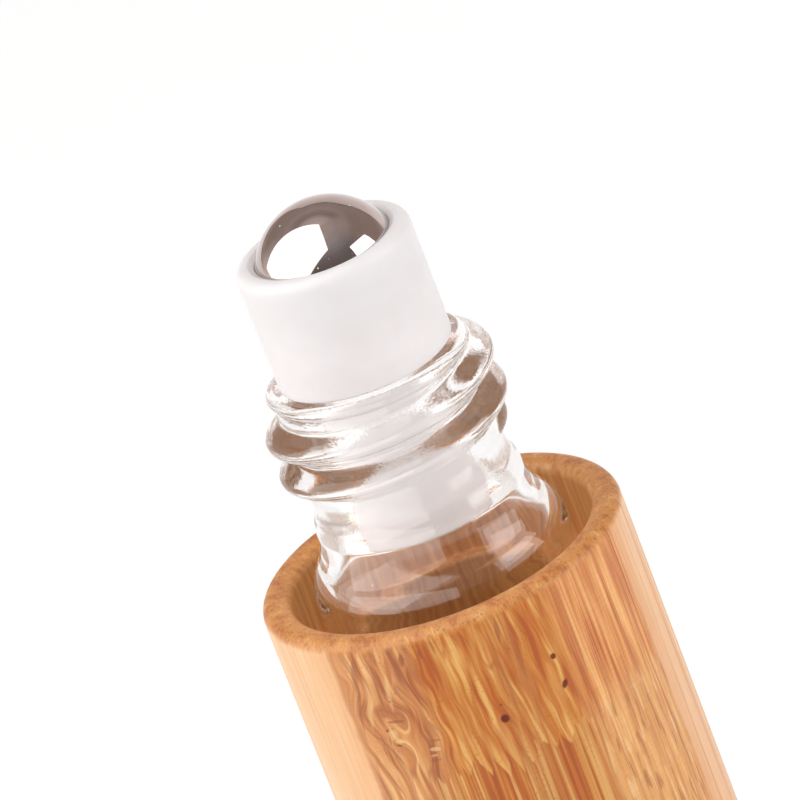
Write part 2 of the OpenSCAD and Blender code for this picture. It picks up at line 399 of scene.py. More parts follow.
@dataclass(frozen=True)
class BambooFinish:
    """Glued-up bamboo laths under a thin satin lacquer, as one solid grain.

    Attributes:
        rim: Height of the sleeve's rim.
        radius: Radius of its turned face.
        mouth: Radius of its mouth.
        lath: Thickness of a lath.
        lath_edge: Distance of the front lath's joint from the axis.
        lath_turn: Degrees that the laths' faces are turned towards +X.
        node_drop: Drop of the culm's node below the rim.
        node_edge: Drop of the node's lower edge.
        marks: The marks of the front lath that are seen one by one.
    """

    rim: float
    radius: float
    mouth: float
    lath: float = 5.77
    lath_edge: float = 8.23
    lath_turn: float = 6.0
    node_drop: float = 6.6
    node_edge: float = 11.6
    marks: tuple[Mark, ...] = (
        Mark(Tone.PLUM, -40.6, 2.6, 2.0, 0.5, lean=0.3, share=0.6),
        Mark(Tone.PLUM, -42.6, 5.4, 2.6, 0.26, lean=0.2, share=0.55),
        Mark(Tone.CREAM, -38.4, 5.0, 2.8, 0.42, lean=0.16, bow=-0.05, share=0.45),
        Mark(Tone.PLUM, -34.0, 3.6, 2.1, 0.24, lean=0.05, share=0.5),
        Mark(Tone.CREAM, -31.0, 4.2, 2.0, 0.3, lean=0.22, share=0.4),
        Mark(Tone.RUST, -28.4, 2.4, 1.5, 0.3, lean=0.12, share=0.6),
        Mark(Tone.RUST, -26.6, 6.6, 1.9, 0.3, lean=-0.16, share=0.6),
        Mark(Tone.PLUM, -23.0, 1.7, 0.75, 0.3, lean=0.15),
        Mark(Tone.RUST, -22.4, 4.2, 2.2, 0.32, lean=0.06, share=0.6),
        Mark(Tone.PLUM, -17.0, 1.5, 0.6, 0.22),
        Mark(Tone.PLUM, -12.6, 1.2, 0.8, 0.16, lean=-0.1, share=0.6),
        Mark(Tone.RUST, -42.6, 10.8, 2.9, 0.3, lean=-0.36, bow=0.02, share=0.6),
        Mark(Tone.PLUM, -45.6, 12.4, 2.0, 0.26, lean=-0.12, share=0.5),
        Mark(Tone.RUST, -29.4, 12.4, 2.7, 0.36, lean=-0.14, share=0.7),
        Mark(Tone.PLUM, -37.2, 9.0, 1.9, 0.2, lean=-0.5, bow=-0.08, share=0.5),
        Mark(Tone.RUST, 4.6, 5.6, 4.0, 0.3, lean=-0.01, share=0.6),
        Mark(Tone.RUST, 10.4, 4.0, 3.6, 0.3, share=0.7),
        Mark(Tone.PLUM, 7.2, 1.8, 1.3, 0.26, lean=0.1, share=0.6),
        Mark(Tone.CREAM, -34.6, 7.7, 0.55, 0.5, lean=0.4, pointed=2.0, share=0.5),
        Mark(Tone.CREAM, -33.4, 8.3, 0.2, 0.4, lean=-0.5, pointed=2.0, share=0.5),
        Mark(Tone.PLUM, -32.6, 6.6, 0.16, 0.6, lean=-0.5, pointed=2.0, share=0.6),
        Mark(Tone.PLUM, -36.2, 8.0, 0.5, 0.12, lean=0.2, pointed=2.0, share=0.6),
        Mark(Tone.CREAM, -23.6, 9.3, 0.22, 0.6, lean=-0.4, pointed=2.0, share=0.6),
        Mark(Tone.CREAM, -24.6, 9.8, 0.14, 0.4, lean=0.4, pointed=2.0, share=0.4),
        Mark(Tone.PLUM, -24.4, 10.2, 0.12, 0.55, lean=-0.4, pointed=2.0, share=0.5),
        Mark(Tone.PLUM, -22.8, 8.6, 0.14, 0.6, lean=-0.7, pointed=2.0, share=0.5),
        Mark(Tone.PLUM, -21.8, 7.4, 0.6, 0.2, lean=-0.4, pointed=2.0, share=0.35),
        Mark(Tone.PORE, -35.8, 7.3, 0.14, 0.17, pointed=2.0, share=0.6),
        Mark(Tone.PORE, -34.0, 8.6, 0.12, 0.3, lean=-0.6, pointed=2.0, share=0.6),
        Mark(Tone.PORE, -31.8, 4.9, 0.1, 0.14, pointed=2.0, share=0.4),
        Mark(Tone.PORE, 0.1, 8.5, 0.42, 0.4, pointed=2.0, share=1.0),
        Mark(Tone.PORE, 0.5, 7.35, 0.13, 0.12, pointed=2.0, share=0.6),
        Mark(Tone.PORE, 20.2, 5.65, 0.3, 0.28, pointed=2.0, share=0.95),
        Mark(Tone.PORE, 20.7, 8.05, 0.4, 0.3, lean=0.3, pointed=2.0, share=0.95),
    )

    def mark_group(self) -> bpy.types.NodeTree:
        """Builds the node group that draws one mark of the grain.

        Returns:
            The group, with the mark's sizes as inputs and its share as output.
        """
        group = bpy.data.node_groups.new("grain_mark", "ShaderNodeTree")
        names = ("Around", "Drop", "Middle around", "Middle drop", "Half length", "Half width", "Lean", "Bow",
                 "Pointed", "Share")
        for name in names:
            group.interface.new_socket(name, in_out="INPUT", socket_type="NodeSocketFloat")
        group.interface.new_socket("Share", in_out="OUTPUT", socket_type="NodeSocketFloat")
        plan = Plan(group)
        source = plan.node("NodeGroupInput")
        value = {name: Field(plan, source.outputs[index]) for index, name in enumerate(names)}
        up = value["Middle drop"] - value["Drop"]
        aside = value["Around"] - value["Middle around"] - value["Lean"] * up - value["Bow"] * up * up
        along = up / value["Half length"]
        across = plan.math("ABSOLUTE", aside / value["Half width"])
        inside = 1.0 - along * along - across ** value["Pointed"]
        share = plan.ease(inside, 0.0, 0.75) * value["Share"]
        plan.node("NodeGroupOutput", {0: share})
        return group

    def build(self) -> Material:
        """Writes the bamboo material.

        Returns:
            The material.
        """
        finish = Finish("lacquered_bamboo")
        plan = finish.plan
        degrees = plan.math("ARCTAN2", finish.x, -finish.y) * math.degrees(1)
        around = degrees * (math.radians(1) * self.radius)
        drop = self.rim - finish.z
        radius = plan.math("SQRT", finish.x * finish.x + finish.y * finish.y)
        turn = math.radians(self.lath_turn)
        depth = finish.x * math.sin(turn) - finish.y * math.cos(turn)
        aside = finish.x * math.cos(turn) + finish.y * math.sin(turn)

        # Laths, counted from the front to the back, with soft joints
        count = (self.lath_edge - depth) / self.lath + 1.0
        lath = plan.math("FLOOR", count)
        fray = plan.noise((drop / 1.2, drop / 9.0, aside / 4.0), 1.0)
        front = plan.ease(depth - self.lath_edge + (fray - 0.5) * 0.35, -0.3, 0.2)
        chance = plan.field("ShaderNodeTexWhiteNoise", {"W": lath * 3.7 + 1.3}, noise_dimensions="1D")
        joint = plan.math("ABSOLUTE", count - plan.math("ROUND", count)) * self.lath
        glue_line = plan.ease(joint, 0.03, 0.09, 1.0, 0.0)

        # The grain swirls at the culm's node, most of all on the left
        node = plan.band(drop, self.node_drop, 8.0)
        restless = plan.ease(degrees, -22.0, -14.0, 5.0, 1.1) * plan.ease(degrees, 18.0, 30.0, 1.0, 0.2)
        stir = plan.noise((around / 3.2, drop / 4.6, 0.6), 1.0)
        swirl = (stir - 0.5) * (node * restless + 0.15)

        spot = Spot(around, around + swirl, degrees, drop, radius, aside, depth)
        colour, relief = self.face_grain(plan, spot)
        colour = plan.mix(front, self.edge_grain(plan, spot, chance), colour)
        colour = plan.mix(plan.math("GREATER_THAN", lath, 3.5), colour, self.back_grain(plan, spot))
        relief = relief * front

        # Single marks on the front lath
        group = self.mark_group()
        on_face = front * plan.ease(radius, self.radius - 1.4, self.radius - 0.7)
        pits = 0.0
        for mark in self.marks:
            middle = math.radians(mark.angle) * self.radius
            sizes = (mark.drop, mark.length, mark.width, mark.lean, mark.bow, mark.pointed, mark.share)
            inputs = dict(enumerate((around + swirl * 0.25, drop, middle, *sizes)))
            share = plan.field("ShaderNodeGroup", inputs, node_tree=group) * on_face
            colour = plan.mix(share, colour, paint(*mark.tone.value))
            if mark.tone is Tone.PORE:
                pits = share + pits

        colour = self.end_grain(plan, spot, colour, plan.noise(finish.near(0.55, 12.0, (5.0, 0.0, 0.0))))
        colour = plan.mix(glue_line * 0.14, colour, paint(170, 110, 66))

        # Fine fibres and sanding lines over everything
        fibre = plan.noise(finish.near(0.14, 5.0, (3.0, 1.0, 2.0)))
        turned = plan.noise((finish.x / 1.8, finish.y / 1.8, drop / 0.15))
        tone = plan.ease(fibre, 0.25, 0.75, 0.94, 1.06) * plan.ease(turned, 0.3, 0.7, 0.985, 1.012)
        colour = plan.mix(1.0, colour, plan.join(tone * 0.98, tone * 0.95, tone * 0.86), "MULTIPLY")
        height = fibre * 0.35 + relief * 0.5 + turned * 0.12 - pits * 1.6 - glue_line * 0.6
        normal = finish.bump(height, 0.016)
        dull = plan.noise(finish.near(1.2, 6.0))
        surface = finish.principled({
            "Base Color": colour,
            "Roughness": plan.ease(dull, 0.3, 0.7, 0.44, 0.56) + pits * 0.4,
            "IOR": 1.48,
            "Coat Weight": 0.22,
            "Coat Roughness": 0.32,
            "Coat IOR": 1.48,
            "Normal": normal,
        })
        return finish.close(surface)

    def face_grain(self, plan: Plan, spot: Spot) -> tuple[Field, Field]:
        """Draws the flat face of the front lath, with its node.

        Args:
            plan: Tree that is written.
            spot: Where the point lies.

        Returns:
            The colour, and a relief from 0 to 1.
        """
        around, drop, degrees = spot.around, spot.drop, spot.degrees
        ragged = plan.noise((around / 0.9, 0.0, 4.0), 1.0)
        slant = spot.bent - drop * 0.08

        # The node's lower edge: its fibres end in tongues there, and run straight below it
        strand = slant / 1.08 + 0.62
        across = plan.math("FRACT", strand)
        own = plan.field("ShaderNodeTexWhiteNoise", {"W": plan.math("FLOOR", strand)}, noise_dimensions="1D")
        toothed = plan.band(degrees, -3.0, 16.0)
        toothed = toothed * toothed * (3.0 - toothed * 2.0)
        point = plan.math("ABSOLUTE", across - 0.6) * 2.0
        edge = self.node_edge + (own - 0.5) * 1.2 + (1.0 - point) * 2.0 * toothed
        edge = edge + (ragged - 0.5) * 5.0 * (1.0 - toothed)
        over = drop - edge
        below = plan.ease(over, -0.12, 0.2)

        # The node's own part: streaks that run into each other, with crisp lines between them
        wide = plan.noise((slant / 0.75, drop / 7.5, 2.0), 1.0)
        thin = plan.noise((slant / 0.26, drop / 4.5, 3.0))
        tone = wide * 0.62 + thin * 0.38
        line = plan.noise((slant / 1.5, drop / 11.0, 8.0), 1.0)
        crisp = plan.ease(plan.math("ABSOLUTE", line - 0.5), 0.0, 0.035, 1.0, 0.0)
        middle = plan.ladder(
            tone, (0.36, (238, 184, 108)), (0.45, (220, 150, 72)), (0.53, (206, 122, 38)),
            (0.62, (184, 88, 18))
        )
        middle = plan.mix(crisp * 0.55, middle, paint(188, 90, 20))
        calm = plan.ladder(
            tone, (0.34, (242, 190, 130)), (0.44, (224, 158, 98)), (0.53, (208, 134, 74)),
            (0.64, (170, 96, 54))
        )
        calm = plan.mix(crisp * 0.45, calm, paint(170, 96, 58))
        left = plan.ease(degrees + (ragged - 0.5) * 6.0, -23.0, -17.0, 1.0, 0.0)
        upper = plan.mix(left, middle, calm)

        # Each tongue is light on its left and at its tip, with an orange line down its right side
        body = plan.band(across, 0.42, 0.42) * plan.ease(over, -4.6, -0.6, 0.0, 1.0)
        upper = plan.mix(body * toothed * 0.62, upper, paint(242, 194, 116))
        side = plan.band(across, 0.98, 0.2) * plan.ease(over, -7.0, -1.5, 0.15, 1.0)
        upper = plan.mix(side * toothed * 0.75, upper, paint(186, 88, 18))

        # The plain part below: straight bands with thin cream lines
        band = plan.noise((around / 0.62, drop / 30.0, 7.0), 1.0)
        fibre = plan.noise((around / 0.24, drop / 14.0, 5.0))
        straight = band * 0.6 + fibre * 0.4
        orange = plan.ladder(
            straight, (0.38, (230, 174, 104)), (0.46, (212, 142, 68)), (0.53, (198, 112, 34)),
            (0.6, (180, 84, 20))
        )
        tan = plan.ladder(
            straight, (0.36, (240, 190, 130)), (0.46, (224, 160, 98)), (0.54, (208, 138, 76)),
            (0.64, (178, 104, 56))
        )
        lower = plan.mix(plan.ease(degrees, -26.0, -19.0, 1.0, 0.0), orange, tan)
        thread = plan.noise((around / 0.4, drop / 40.0, 9.0), 1.0)
        cream_line = plan.ease(thread, 0.6, 0.66)
        lower = plan.mix(cream_line * 0.6, lower, paint(240, 194, 126))
        colour = plan.mix(below * plan.ease(degrees, -32.0, -24.0), upper, lower)
        root = plan.ease(over, 0.1, 1.8, 1.0, 0.0) * below * toothed
        colour = plan.mix(root * 0.3, colour, paint(176, 82, 20))

        # Stippled patches
        mottle = plan.noise((around / 0.2, drop / 0.26, 1.0))
        patch = plan.noise((around / 2.0, drop / 2.4, 7.0), 1.0)
        dotted = plan.ease(mottle, 0.56, 0.68) * plan.ease(patch, 0.5, 0.6)
        colour = plan.mix(dotted * 0.42, colour, paint(160, 92, 46))

        # Finer, redder and straighter grain on the right of the lath
        red = plan.noise((around / 0.2, drop / 16.0, 11.0), 1.5)
        broad = plan.noise((around / 0.8, drop / 9.0, 12.0), 1.0)
        stripes = plan.ladder(
            red * 0.5 + broad * 0.5, (0.36, (248, 188, 122)), (0.46, (234, 162, 98)),
            (0.54, (218, 138, 76)), (0.64, (194, 104, 52))
        )
        lighter = plan.ease(drop + (ragged - 0.5) * 4.0, 9.0, 12.5)
        stripes = plan.mix(lighter * 0.45, stripes, paint(240, 186, 122))
        fleck = plan.noise((around / 0.42, drop / 3.4, 9.0), 1.5)
        stripes = plan.mix(plan.ease(fleck, 0.58, 0.7) * lighter * 0.7, stripes, paint(176, 104, 62))
        stripes = plan.mix(plan.ease(fleck, 0.44, 0.34) * lighter * 0.6, stripes, paint(250, 210, 156))
        streak = plan.noise((around / 0.34, drop / 10.0, 14.0), 1.0)
        stripes = plan.mix(plan.ease(streak, 0.6, 0.68) * 0.55, stripes, paint(188, 106, 68))
        hatch = plan.noise((around / 1.1, drop / 0.16, 2.0))
        stripes = plan.mix(1.0, stripes, plan.grey(plan.ease(hatch, 0.3, 0.7, 0.965, 1.03)), "MULTIPLY")
        right = plan.ease(degrees + (ragged - 0.5) * 9.0, 21.0, 29.0)
        colour = plan.mix(right, colour, stripes)
        plain = plan.ease(degrees, -46.5, -42.0, 1.0, 0.0)
        colour = plan.mix(plain * 0.5, colour, paint(216, 152, 102))
        relief = tone * 0.6 + below * toothed * 0.3
        return colour, relief

    def back_grain(self, plan: Plan, spot: Spot) -> Field:
        """Draws the flat face of the back lath, whose grain runs straight.

        Args:
            plan: Tree that is written.
            spot: Where the point lies.

        Returns:
            The colour.
        """
        drop = spot.drop
        way = spot.aside + (plan.noise((spot.aside / 6.0, drop / 22.0, 3.0), 1.0) - 0.5) * 1.6
        band = plan.noise((way / 0.7, drop / 30.0, 21.0), 1.0)
        fibre = plan.noise((way / 0.26, drop / 14.0, 22.0))
        colour = plan.ladder(
            band * 0.6 + fibre * 0.4, (0.34, (234, 186, 126)), (0.45, (220, 160, 98)),
            (0.55, (208, 138, 72)), (0.66, (184, 104, 50))
        )
        thread = plan.noise((way / 0.4, drop / 40.0, 23.0), 1.0)
        return plan.mix(plan.ease(thread, 0.6, 0.66) * 0.45, colour, paint(240, 200, 146))

    def edge_grain(self, plan: Plan, spot: Spot, chance: Field) -> Field:
        """Draws the laths that show their edge, which are paler and finely lined.

        Args:
            plan: Tree that is written.
            spot: Where the point lies.
            chance: A number from 0 to 1 for each lath.

        Returns:
            The colour.
        """
        aside, depth, drop = spot.aside, spot.depth, spot.drop
        soft = plan.noise((aside / 1.4, depth / 1.4, drop / 26.0))
        thin = plan.noise((aside / 0.4, depth / 0.4, drop / 34.0), 1.0)
        colour = plan.mix(plan.ease(soft, 0.3, 0.7), paint(254, 214, 174), paint(248, 196, 150))
        lined = plan.ease(thin, 0.46, 0.62) * plan.ease(aside, 4.0, 9.0, 0.25, 0.8)
        colour = plan.mix(lined, colour, paint(228, 158, 108))
        colour = plan.mix(plan.ease(chance, 0.3, 0.9) * 0.25, colour, paint(224, 158, 98))
        near_face = plan.ease(depth - self.lath_edge, -2.6, 0.0, 0.0, 0.6) * plan.ease(aside, 4.0, 9.0)
        return plan.mix(near_face, colour, paint(232, 164, 112))

    def end_grain(self, plan: Plan, spot: Spot, colour: Field, fibres: Field) -> Field:
        """Draws the cut ends of the fibres on the rim, and the darker wall of the mouth.

        Args:
            plan: Tree that is written.
            spot: Where the point lies.
            colour: Colour of the grain's faces.
            fibres: Noise of long fibres for the mouth's wall.

        Returns:
            The colour with the rim and the mouth.
        """
        aside, depth, drop = spot.aside, spot.depth, spot.drop
        dots = plan.cells(plan.join(aside / 0.36, depth / 0.3, 0.0))
        some = plan.noise((aside / 0.9, depth / 0.9, 5.0))
        dot = plan.ease(dots, 0.2, 0.4, 1.0, 0.0) * plan.ease(some, 0.42, 0.6)
        cloud = plan.noise((aside / 1.6, depth / 1.6, 0.0), 3.0, 0.6)
        fray = plan.noise((aside / 0.18, depth / 0.5, drop / 0.5))
        ground = plan.ladder(
            cloud * 0.7 + fray * 0.3, (0.3, (234, 176, 112)), (0.48, (214, 146, 82)), (0.62, (188, 114, 60))
        )
        cut = plan.mix(dot * 0.45, ground, paint(150, 82, 42))
        on_rim = plan.ease(drop + (fray - 0.5) * 0.3, 0.3, 0.9, 1.0, 0.0)
        colour = plan.mix(on_rim, colour, cut)
        inside = plan.ease(spot.radius, self.mouth + 0.25, self.mouth + 0.9, 1.0, 0.0)
        wall = plan.ladder(fibres, (0.3, (240, 180, 114)), (0.5, (226, 158, 92)), (0.7, (206, 132, 70)))
        return plan.mix(inside * 0.92, colour, wall)


@dataclass(frozen=True)
class GlassFinish:
    """Clear moulded glass with faint ripples, a few specks of dust, and a painted glow that stands in for the
    bamboo seen round inside the wall.

    Attributes:
        neck_low: Height from which the moulded ripples show.
        long_way: Number of bounces after which the glass stops refracting and glows with a painted reflection
            of the bamboo.
    """

    neck_low: float
    long_way: int = 5

    def build(self) -> Material:
        """Writes the glass material.

        Returns:
            The material.
        """
        finish = Finish("clear_glass")
        plan = finish.plan
        moulded = plan.ease(finish.z, self.neck_low - 1.0, self.neck_low + 1.5)
        wave = plan.noise(finish.near(2.2, 2.2), 1.0)
        ripple = plan.noise(finish.near(0.6, 0.4, (4.0, 4.0, 4.0)))
        grain = plan.noise(finish.near(0.22, 0.16, (1.0, 2.0, 3.0)))
        height = wave * 0.8 + (ripple * 0.4 + grain * 0.5) * moulded
        normal = finish.bump(height, 0.02)
        glass = finish.principled({
            "Base Color": (1.0, 0.994, 0.988, 1.0),
            "Roughness": 0.0,
            "IOR": 1.517,
            "Transmission Weight": 1.0,
            "Normal": normal,
        })
        speck = finish.specks(finish.near(1.1, 1.1, (0.5, 0.5, 0.5)), 0, 0.03, 0.06, 0.8)
        dust = plan.field("ShaderNodeBsdfDiffuse", {"Color": paint(250, 246, 242)})
        dusty = plan.layer(speck * 0.8, glass, dust)

        # Painted reflection: past that many bounces the glass glows with painted brown and cream streaks in
        # place of the bamboo that it would show
        streak = plan.noise(finish.near(0.9, 0.3, (7.0, 5.0, 1.0)), 3.0, 0.65)
        crumb = plan.noise(finish.near(0.15, 0.13, (2.0, 5.0, 1.0)), 1.0, 0.6)
        painted_glow_colour = plan.ladder(
            streak * 0.5 + crumb * 0.5, (0.38, (60, 35, 20)), (0.47, (106, 70, 44)), (0.53, (158, 110, 78)),
            (0.62, (248, 232, 218))
        )
        # A glowing shader, no lamp: the painted reflection of the bamboo
        painted_bamboo_glow = plan.field("ShaderNodeEmission", {"Color": painted_glow_colour})
        deep = plan.math("GREATER_THAN", plan.ray("Ray Depth"), self.long_way - 0.5)
        clear = plan.layer(deep, dusty, painted_bamboo_glow)

        # Lamps and daylight pass straight through the glass
        through = plan.math("MAXIMUM", plan.ray("Is Shadow Ray"), plan.ray("Is Diffuse Ray"))
        open_air = plan.field("ShaderNodeBsdfTransparent", {"Color": (0.985, 0.982, 0.98, 1.0)})
        return finish.close(plan.layer(through, clear, open_air))


@dataclass(frozen=True)
class PolyethyleneFinish:
    """Milky white moulded polyethylene with a satin skin.

    Attributes:
        collar_low: Height of the collar's lower edge.
    """

    collar_low: float

    def build(self) -> Material:
        """Writes the polyethylene material.

        Returns:
            The material.
        """
        finish = Finish("milky_polyethylene")
        plan = finish.plan
        cloud = plan.noise(finish.near(5.0, 4.0))
        colour = plan.mix(plan.ease(cloud, 0.3, 0.7), paint(244, 240, 242), paint(239, 234, 235))
        grazed = plan.noise(finish.near(0.5, 0.12, (1.0, 7.0, 0.0)))
        grain = plan.noise(finish.near(0.09, 0.09, (2.0, 0.0, 5.0)))
        scuff = plan.ease(plan.noise(finish.near(1.6, 0.35, (9.0, 0.0, 0.0))), 0.6, 0.75)
        flow = plan.band(finish.z, self.collar_low + 1.2, 1.1) * plan.ease(
            plan.noise(finish.near(0.8, 0.6, (0.0, 3.0, 0.0))), 0.5, 0.66
        )
        height = grain * 0.4 + grazed * 0.15 + scuff * 0.3 + flow * 1.4
        normal = finish.bump(height, 0.012)
        rough = plan.ease(grazed, 0.3, 0.7, 0.36, 0.46) + scuff * 0.08
        surface = finish.principled({
            "Base Color": colour,
            "Roughness": rough,
            "IOR": 1.5,
            "Subsurface Weight": 0.55,
            "Subsurface Radius": (1.0, 0.92, 0.86),
            "Subsurface Scale": 1.6 * MM,
            "Normal": normal,
        })
        return finish.close(surface)


@dataclass(frozen=True)
class SteelFinish:
    """Mirror polished steel with hair scratches and a few specks."""

    def build(self) -> Material:
        """Writes the steel material.

        Returns:
            The material.
        """
        finish = Finish("polished_steel")
        plan = finish.plan
        smear = plan.noise(finish.near(2.4, 2.4))
        hair = plan.noise(finish.near(0.05, 2.2, (1.0, 2.0, 3.0)), 1.0)
        hairline = plan.ease(hair, 0.7, 0.76)
        pit = finish.specks(finish.near(0.55, 0.55, (0.3, 0.7, 0.2)), 1, 0.03, 0.07, 0.9)
        dust = finish.specks(finish.near(0.9, 0.9, (3.3, 1.7, 4.2)), 0, 0.06, 0.085, 0.25)
        colour = plan.mix(plan.ease(smear, 0.3, 0.7), paint(206, 200, 197), paint(196, 189, 186))
        normal = finish.bump(pit * -1.0 + hairline * -0.1, 0.004)
        surface = finish.principled({
            "Base Color": colour,
            "Metallic": 1.0,
            "Roughness": plan.ease(smear, 0.35, 0.7, 0.035, 0.07) + hairline * 0.05 + pit * 0.3,
            "Normal": normal,
        })
        lint = plan.field("ShaderNodeBsdfDiffuse", {"Color": paint(252, 250, 248)})
        return finish.close(plan.layer(dust, surface, lint))


@dataclass(frozen=True)
class GlueFinish:
    """Cloudy hot-melt glue."""

    def build(self) -> Material:
        """Writes the glue material.

        Returns:
            The material.
        """
        finish = Finish("cloudy_glue")
        plan = finish.plan
        cloud = plan.noise(finish.near(2.2, 1.2), 3.0)
        bubble = plan.ease(plan.cells(finish.near(0.9, 0.9)), 0.08, 0.16, 1.0, 0.0)
        colour = plan.mix(plan.ease(cloud, 0.3, 0.7), paint(240, 232, 212), paint(226, 214, 186))
        normal = finish.bump(cloud + bubble * 0.5, 0.08)
        surface = finish.principled({
            "Base Color": colour,
            "Roughness": plan.ease(cloud, 0.3, 0.7, 0.3, 0.45),
            "Subsurface Weight": 0.5,
            "Subsurface Radius": (1.0, 0.9, 0.7),
            "Subsurface Scale": 1.5 * MM,
            "Normal": normal,
        })
        return finish.close(surface)


def arc(centre: Point, radius: float, start: float, end: float, steps: int) -> Outline:
    """Lists points of an arc.

    Args:
        centre: Centre of the arc.
        radius: Its radius.
        start: Angle of its first point in degrees.
        end: Angle of its last point in degrees.
        steps: Straight steps in it.

    Returns:
        The points, both ends included.
    """
    angles = [math.radians(start + (end - start) * i / steps) for i in range(steps + 1)]
    return [(centre[0] + radius * math.cos(a), centre[1] + radius * math.sin(a)) for a in angles]


def run(start: Point, end: Point, steps: int) -> Outline:
    """Lists points of a straight run, both ends included. Runs start just past a bend to hold its edge."""
    return [
        (start[0] + (end[0] - start[0]) * i / steps, start[1] + (end[1] - start[1]) * i / steps)
        for i in range(steps + 1)
    ]


def s_turn(width: float, first: float, second: float) -> float:
    """Gives the angle of two arcs that meet on one tangent.

    Args:
        width: How far aside the two arcs lead together.
        first: Radius of the first arc.
        second: Radius of the second arc.

    Returns:
        The angle that each arc turns through, in degrees.
    """
    return math.degrees(math.acos(1 - width / (first + second)))


class GeometryTree:
    """A Geometry Nodes tree that makes or shapes one piece.

    A subclass names its inputs, lengths and ratios as numbers and the rest as counts, and writes its nodes.
    The tree always ends in Realize Instances and Set Material.
    """

    name = "geometry"
    numbers: tuple[str, ...] = ()
    counts: tuple[str, ...] = ()

    def __init__(self) -> None:
        """Writes the tree."""
        self.tree = bpy.data.node_groups.new(self.name, "GeometryNodeTree")
        self.tree.is_modifier = True
        self.plan = Plan(self.tree)
        face = self.tree.interface
        kinds = {
            "Geometry": "NodeSocketGeometry",
            **dict.fromkeys(self.numbers, "NodeSocketFloat"),
            **dict.fromkeys(self.counts, "NodeSocketInt"),
            "Material": "NodeSocketMaterial",
        }
        self.sockets = {}
        for label, kind in kinds.items():
            self.sockets[label] = face.new_socket(label, in_out="INPUT", socket_type=kind).identifier
        face.new_socket("Geometry", in_out="OUTPUT", socket_type="NodeSocketGeometry")
        source = self.plan.node("NodeGroupInput")
        self.value = {label: Field(self.plan, source.outputs[label]) for label in self.sockets}
        shaped = self.write()
        smooth = self.plan.field("GeometryNodeSetShadeSmooth", {"Geometry": shaped, "Shade Smooth": True})
        real = self.plan.field("GeometryNodeRealizeInstances", {"Geometry": smooth})
        dressed = {"Geometry": real, "Material": self.value["Material"]}
        done = self.plan.field("GeometryNodeSetMaterial", dressed)
        self.plan.node("NodeGroupOutput", {0: done})

    def write(self) -> Field:
        """Writes the nodes that are the tree's own, and returns its geometry."""
        raise NotImplementedError

    def apply(self, base: Object, material: Material, **values: float) -> Object:
        """Runs the tree on an object and keeps the result as the object's plain mesh.

        Args:
            base: Object whose mesh goes in.
            material: Material of the result.
            **values: The tree's inputs, with underscores for the spaces in their names.

        Returns:
            The same object with its new mesh.
        """
        modifier = base.modifiers.new(self.name, "NODES")
        modifier.node_group = self.tree
        modifier[self.sockets["Material"]] = material
        for name, value in values.items():
            modifier[self.sockets[name.replace("_", " ").capitalize()]] = value
        bpy.context.view_layer.update()
        graph = bpy.context.evaluated_depsgraph_get()
        mesh = bpy.data.meshes.new_from_object(base.evaluated_get(graph))
        base.modifiers.remove(modifier)
        base.data = mesh
        return base


class TurnedBodyTree(GeometryTree):
    """Turns an outline round the vertical axis into a closed body.

    The outline comes in as vertices in order, with the distance from the axis in x and the height in z.
    """

    name = "turned_body"
    counts = ("Sides",)

    def write(self) -> Field:
        """Writes a grid with a column for each side and a row for each point of the outline.

        Returns:
            The closed body.
        """
        plan = self.plan
        outline = self.value["Geometry"]
        rows = plan.field("GeometryNodeAttributeDomainSize", {"Geometry": outline}, out="Point Count")
        sides = self.value["Sides"]
        grid = plan.field("GeometryNodeMeshGrid", {"Vertices X": sides + 1, "Vertices Y": rows}, out="Mesh")
        index = plan.field("GeometryNodeInputIndex")
        column = plan.math("FLOOR", (index + 0.5) / rows)
        row = index - column * rows
        place = plan.field("GeometryNodeInputPosition")
        read = {"Geometry": outline, "Value": place, "Index": row}
        point = plan.field("GeometryNodeSampleIndex", read, data_type="FLOAT_VECTOR", domain="POINT")
        radius, _, height = plan.split(point)
        angle = column / sides * math.tau
        position = plan.join(radius * plan.math("COSINE", angle), radius * plan.math("SINE", angle), height)
        turned = plan.field("GeometryNodeSetPosition", {"Geometry": grid, "Position": position})
        return plan.field("GeometryNodeMergeByDistance", {"Geometry": turned, "Distance": 0.0004 * MM})


class ScrewThreadTree(GeometryTree):
    """Raises a screw thread with faded ends from a turned neck."""

    name = "screw_thread"
    numbers = ("Core radius", "Height", "Width", "Pitch", "Turns", "Fade turns", "Tail turns", "Low end",
               "Start turn", "Fillet")

    def write(self) -> Field:
        """Writes the helix as a rise of each point away from the axis.

        Returns:
            The threaded body.
        """
        plan = self.plan
        value = self.value
        x, y, z = plan.split(plan.field("GeometryNodeInputPosition"))
        radius = plan.math("SQRT", x * x + y * y)
        round_share = plan.math("ARCTAN2", y, x) / math.tau - value["Start turn"]
        climbed = (z - value["Low end"]) / value["Pitch"]
        turn = plan.math("ROUND", climbed - round_share)
        along = turn + round_share
        left = value["Turns"] - along
        fade = plan.math("MINIMUM", along / value["Fade turns"], left / value["Tail turns"])
        share = plan.math("SINE", plan.field("ShaderNodeClamp", {"Value": fade}) * (math.pi / 2))
        width = value["Width"] * plan.math("SQRT", share) + 0.000001
        off = (climbed - along) * value["Pitch"] * 2.0 / width
        ridge = 1.0 - off * off
        soft = (ridge + plan.math("SQRT", ridge * ridge + value["Fillet"] * value["Fillet"])) * 0.5
        rise = value["Height"] * share * plan.math("MINIMUM", soft, 1.0)
        outer = plan.math("GREATER_THAN", radius, value["Core radius"])
        push = rise * outer / radius
        offset = plan.join(x * push, y * push, 0.0)
        return plan.field("GeometryNodeSetPosition", {"Geometry": value["Geometry"], "Offset": offset})


